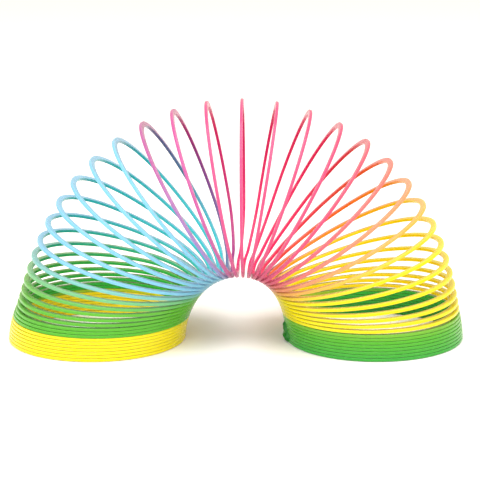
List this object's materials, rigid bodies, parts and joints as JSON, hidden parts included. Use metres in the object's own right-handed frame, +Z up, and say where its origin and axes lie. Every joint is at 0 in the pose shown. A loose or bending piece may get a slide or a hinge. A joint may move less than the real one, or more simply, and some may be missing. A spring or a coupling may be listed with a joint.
{
  "type": "spring coil toy",
  "caption": "Flexible plastic coil in rainbow colours, standing as an arch on its two closed ends; each turn hinges on the next.",
  "frame": {"origin": "on the floor, in the middle of the space that the toy covers, between its two feet", "axes": "+X along the arch from the left foot to the right foot, +Y away from the front, +Z up"},
  "size_m": [0.1924, 0.0755, 0.1018],
  "materials": {
    "yellow": "glossy, slightly translucent, one colour running into the next along the strip",
    "green": "glossy, slightly translucent, one colour running into the next along the strip",
    "sky_blue": "glossy, slightly translucent, one colour running into the next along the strip",
    "violet": "glossy, slightly translucent, one colour running into the next along the strip",
    "pink": "glossy, slightly translucent, one colour running into the next along the strip",
    "coral": "glossy, slightly translucent, one colour running into the next along the strip",
    "orange": "glossy, slightly translucent, one colour running into the next along the strip"
  },
  "bodies": {
    "left_foot": {"turn_01": "yellow", "turn_02": "yellow", "turn_03": "yellow", "turn_04": "yellow", "turn_05": "yellow", "turn_06": "yellow", "turn_07": "green", "turn_08": "green", "turn_09": "green", "turn_10": "green", "left_end_weld": "yellow"},
    "fan_turn_11": {"turn_11": "green"},
    "fan_turn_12": {"turn_12": "green"},
    "fan_turn_13": {"turn_13": "green"},
    "fan_turn_14": {"turn_14": "green"},
    "fan_turn_15": {"turn_15": "green"},
    "fan_turn_16": {"turn_16": "sky_blue"},
    "fan_turn_17": {"turn_17": "sky_blue"},
    "fan_turn_18": {"turn_18": "sky_blue"},
    "fan_turn_19": {"turn_19": "sky_blue"},
    "fan_turn_20": {"turn_20": "sky_blue"},
    "fan_turn_21": {"turn_21": "sky_blue"},
    "fan_turn_22": {"turn_22": "sky_blue"},
    "fan_turn_23": {"turn_23": "violet"},
    "fan_turn_24": {"turn_24": "violet"},
    "fan_turn_25": {"turn_25": "pink"},
    "fan_turn_26": {"turn_26": "pink"},
    "fan_turn_27": {"turn_27": "pink"},
    "fan_turn_28": {"turn_28": "pink"},
    "fan_turn_29": {"turn_29": "pink"},
    "fan_turn_30": {"turn_30": "pink"},
    "fan_turn_31": {"turn_31": "coral"},
    "fan_turn_32": {"turn_32": "orange"},
    "fan_turn_33": {"turn_33": "orange"},
    "fan_turn_34": {"turn_34": "yellow"},
    "fan_turn_35": {"turn_35": "yellow"},
    "fan_turn_36": {"turn_36": "yellow"},
    "fan_turn_37": {"turn_37": "yellow"},
    "fan_turn_38": {"turn_38": "yellow"},
    "fan_turn_39": {"turn_39": "yellow"},
    "fan_turn_40": {"turn_40": "yellow"},
    "fan_turn_41": {"turn_41": "yellow"},
    "right_foot": {"turn_42": "yellow", "turn_43": "green", "turn_44": "green", "turn_45": "green", "turn_46": "green", "turn_47": "green", "turn_48": "green", "turn_49": "green", "right_end_weld": "green"}
  },
  "joints": [
    {"name": "seam_10", "type": "hinge", "parent": "left_foot", "child": "fan_turn_11", "pos_m": [-0.0179, 0, 0.01349], "axis": [0, 1, 0], "range_deg": [-0.68641, 0.08237], "stiffness_Nm_per_rad": 0.6},
    {"name": "seam_11", "type": "hinge", "parent": "fan_turn_11", "child": "fan_turn_12", "pos_m": [-0.0172, 0, 0.0149], "axis": [0, 1, 0], "range_deg": [-1.03, 0.12], "stiffness_Nm_per_rad": 0.6},
    {"name": "seam_12", "type": "hinge", "parent": "fan_turn_12", "child": "fan_turn_13", "pos_m": [-0.0164, 0, 0.0163], "axis": [0, 1, 0], "range_deg": [-1.48, 0.18], "stiffness_Nm_per_rad": 0.6},
    {"name": "seam_13", "type": "hinge", "parent": "fan_turn_13", "child": "fan_turn_14", "pos_m": [-0.0155, 0, 0.01768], "axis": [0, 1, 0], "range_deg": [-2.05, 0.25], "stiffness_Nm_per_rad": 0.6},
    {"name": "seam_14", "type": "hinge", "parent": "fan_turn_14", "child": "fan_turn_15", "pos_m": [-0.01452, 0, 0.01902], "axis": [0, 1, 0], "range_deg": [-2.75, 0.33], "stiffness_Nm_per_rad": 0.6},
    {"name": "seam_15", "type": "hinge", "parent": "fan_turn_15", "child": "fan_turn_16", "pos_m": [-0.01343, 0, 0.02031], "axis": [0, 1, 0], "range_deg": [-3.55, 0.43], "stiffness_Nm_per_rad": 0.6},
    {"name": "seam_16", "type": "hinge", "parent": "fan_turn_16", "child": "fan_turn_17", "pos_m": [-0.01225, 0, 0.02152], "axis": [0, 1, 0], "range_deg": [-4.44, 0.53], "stiffness_Nm_per_rad": 0.6},
    {"name": "seam_17", "type": "hinge", "parent": "fan_turn_17", "child": "fan_turn_18", "pos_m": [-0.01099, 0, 0.02264], "axis": [0, 1, 0], "range_deg": [-5.37, 0.64], "stiffness_Nm_per_rad": 0.6},
    {"name": "seam_18", "type": "hinge", "parent": "fan_turn_18", "child": "fan_turn_19", "pos_m": [-0.00964, 0, 0.02365], "axis": [0, 1, 0], "range_deg": [-6.31, 0.76], "stiffness_Nm_per_rad": 0.6},
    {"name": "seam_19", "type": "hinge", "parent": "fan_turn_19", "child": "fan_turn_20", "pos_m": [-0.00823, 0, 0.02452], "axis": [0, 1, 0], "range_deg": [-7.2, 0.86], "stiffness_Nm_per_rad": 0.6},
    {"name": "seam_20", "type": "hinge", "parent": "fan_turn_20", "child": "fan_turn_21", "pos_m": [-0.00678, 0, 0.02524], "axis": [0, 1, 0], "range_deg": [-8, 0.96], "stiffness_Nm_per_rad": 0.6},
    {"name": "seam_21", "type": "hinge", "parent": "fan_turn_21", "child": "fan_turn_22", "pos_m": [-0.0053, 0, 0.02581], "axis": [0, 1, 0], "range_deg": [-8.67, 1.04], "stiffness_Nm_per_rad": 0.6},
    {"name": "seam_22", "type": "hinge", "parent": "fan_turn_22", "child": "fan_turn_23", "pos_m": [-0.00381, 0, 0.02624], "axis": [0, 1, 0], "range_deg": [-9.19, 1.1], "stiffness_Nm_per_rad": 0.6},
    {"name": "seam_23", "type": "hinge", "parent": "fan_turn_23", "child": "fan_turn_24", "pos_m": [-0.0023, 0, 0.02654], "axis": [0, 1, 0], "range_deg": [-9.55, 1.15], "stiffness_Nm_per_rad": 0.6},
    {"name": "seam_24", "type": "hinge", "parent": "fan_turn_24", "child": "fan_turn_25", "pos_m": [-0.00065, 0, 0.02676], "axis": [0, 1, 0], "range_deg": [-9.76, 1.17], "stiffness_Nm_per_rad": 0.6},
    {"name": "left_fan", "type": "hinge", "parent": "fan_turn_25", "child": "fan_turn_26", "pos_m": [0.0013, 0, 0.02689], "axis": [0, 1, 0], "range_deg": [-9.83, 1.18], "stiffness_Nm_per_rad": 0.6},
    {"name": "right_fan", "type": "hinge", "parent": "fan_turn_26", "child": "fan_turn_27", "pos_m": [0.00344, 0, 0.02681], "axis": [0, 1, 0], "range_deg": [-9.83, 1.18], "stiffness_Nm_per_rad": 0.6},
    {"name": "seam_27", "type": "hinge", "parent": "fan_turn_27", "child": "fan_turn_28", "pos_m": [0.00537, 0, 0.02653], "axis": [0, 1, 0], "range_deg": [-9.76, 1.17], "stiffness_Nm_per_rad": 0.6},
    {"name": "seam_28", "type": "hinge", "parent": "fan_turn_28", "child": "fan_turn_29", "pos_m": [0.00698, 0, 0.02616], "axis": [0, 1, 0], "range_deg": [-9.56, 1.15], "stiffness_Nm_per_rad": 0.6},
    {"name": "seam_29", "type": "hinge", "parent": "fan_turn_29", "child": "fan_turn_30", "pos_m": [0.00841, 0, 0.0257], "axis": [0, 1, 0], "range_deg": [-9.21, 1.1], "stiffness_Nm_per_rad": 0.6},
    {"name": "seam_30", "type": "hinge", "parent": "fan_turn_30", "child": "fan_turn_31", "pos_m": [0.00977, 0, 0.02512], "axis": [0, 1, 0], "range_deg": [-8.69, 1.04], "stiffness_Nm_per_rad": 0.6},
    {"name": "seam_31", "type": "hinge", "parent": "fan_turn_31", "child": "fan_turn_32", "pos_m": [0.01109, 0, 0.0244], "axis": [0, 1, 0], "range_deg": [-8.03, 0.96], "stiffness_Nm_per_rad": 0.6},
    {"name": "seam_32", "type": "hinge", "parent": "fan_turn_32", "child": "fan_turn_33", "pos_m": [0.01235, 0, 0.02354], "axis": [0, 1, 0], "range_deg": [-7.23, 0.87], "stiffness_Nm_per_rad": 0.6},
    {"name": "seam_33", "type": "hinge", "parent": "fan_turn_33", "child": "fan_turn_34", "pos_m": [0.01353, 0, 0.02255], "axis": [0, 1, 0], "range_deg": [-6.34, 0.76], "stiffness_Nm_per_rad": 0.6},
    {"name": "seam_34", "type": "hinge", "parent": "fan_turn_34", "child": "fan_turn_35", "pos_m": [0.01461, 0, 0.02145], "axis": [0, 1, 0], "range_deg": [-5.41, 0.65], "stiffness_Nm_per_rad": 0.6},
    {"name": "seam_35", "type": "hinge", "parent": "fan_turn_35", "child": "fan_turn_36", "pos_m": [0.0156, 0, 0.02025], "axis": [0, 1, 0], "range_deg": [-4.47, 0.54], "stiffness_Nm_per_rad": 0.6},
    {"name": "seam_36", "type": "hinge", "parent": "fan_turn_36", "child": "fan_turn_37", "pos_m": [0.01648, 0, 0.01898], "axis": [0, 1, 0], "range_deg": [-3.59, 0.43], "stiffness_Nm_per_rad": 0.6},
    {"name": "seam_37", "type": "hinge", "parent": "fan_turn_37", "child": "fan_turn_38", "pos_m": [0.01726, 0, 0.01765], "axis": [0, 1, 0], "range_deg": [-2.78, 0.33], "stiffness_Nm_per_rad": 0.6},
    {"name": "seam_38", "type": "hinge", "parent": "fan_turn_38", "child": "fan_turn_39", "pos_m": [0.01794, 0, 0.01628], "axis": [0, 1, 0], "range_deg": [-2.08, 0.25], "stiffness_Nm_per_rad": 0.6},
    {"name": "seam_39", "type": "hinge", "parent": "fan_turn_39", "child": "fan_turn_40", "pos_m": [0.01853, 0, 0.01489], "axis": [0, 1, 0], "range_deg": [-1.5, 0.18], "stiffness_Nm_per_rad": 0.6},
    {"name": "seam_40", "type": "hinge", "parent": "fan_turn_40", "child": "fan_turn_41", "pos_m": [0.01904, 0, 0.01348], "axis": [0, 1, 0], "range_deg": [-1.04, 0.13], "stiffness_Nm_per_rad": 0.6},
    {"name": "seam_41", "type": "hinge", "parent": "fan_turn_41", "child": "right_foot", "pos_m": [0.01947, 0, 0.01206], "axis": [0, 1, 0], "range_deg": [-0.69812, 0.08377], "stiffness_Nm_per_rad": 0.6}
  ],
  "couplings": [
    {"joint": "seam_10", "follows": "left_fan", "ratio": 0.069806},
    {"joint": "seam_11", "follows": "left_fan", "ratio": 0.10454},
    {"joint": "seam_12", "follows": "left_fan", "ratio": 0.1506},
    {"joint": "seam_13", "follows": "left_fan", "ratio": 0.20893},
    {"joint": "seam_14", "follows": "left_fan", "ratio": 0.27953},
    {"joint": "seam_15", "follows": "left_fan", "ratio": 0.36116},
    {"joint": "seam_16", "follows": "left_fan", "ratio": 0.4513},
    {"joint": "seam_17", "follows": "left_fan", "ratio": 0.54622},
    {"joint": "seam_18", "follows": "left_fan", "ratio": 0.64141},
    {"joint": "seam_19", "follows": "left_fan", "ratio": 0.73198},
    {"joint": "seam_20", "follows": "left_fan", "ratio": 0.81335},
    {"joint": "seam_21", "follows": "left_fan", "ratio": 0.88173},
    {"joint": "seam_22", "follows": "left_fan", "ratio": 0.93464},
    {"joint": "seam_23", "follows": "left_fan", "ratio": 0.97116},
    {"joint": "seam_24", "follows": "left_fan", "ratio": 0.99207},
    {"joint": "seam_27", "follows": "right_fan", "ratio": 0.9925},
    {"joint": "seam_28", "follows": "right_fan", "ratio": 0.97218},
    {"joint": "seam_29", "follows": "right_fan", "ratio": 0.93632},
    {"joint": "seam_30", "follows": "right_fan", "ratio": 0.88406},
    {"joint": "seam_31", "follows": "right_fan", "ratio": 0.81626},
    {"joint": "seam_32", "follows": "right_fan", "ratio": 0.73536},
    {"joint": "seam_33", "follows": "right_fan", "ratio": 0.64508},
    {"joint": "seam_34", "follows": "right_fan", "ratio": 0.55},
    {"joint": "seam_35", "follows": "right_fan", "ratio": 0.45498},
    {"joint": "seam_36", "follows": "right_fan", "ratio": 0.36459},
    {"joint": "seam_37", "follows": "right_fan", "ratio": 0.28256},
    {"joint": "seam_38", "follows": "right_fan", "ratio": 0.2115},
    {"joint": "seam_39", "follows": "right_fan", "ratio": 0.15268},
    {"joint": "seam_40", "follows": "right_fan", "ratio": 0.10615},
    {"joint": "seam_41", "follows": "right_fan", "ratio": 0.070989}
  ]
}
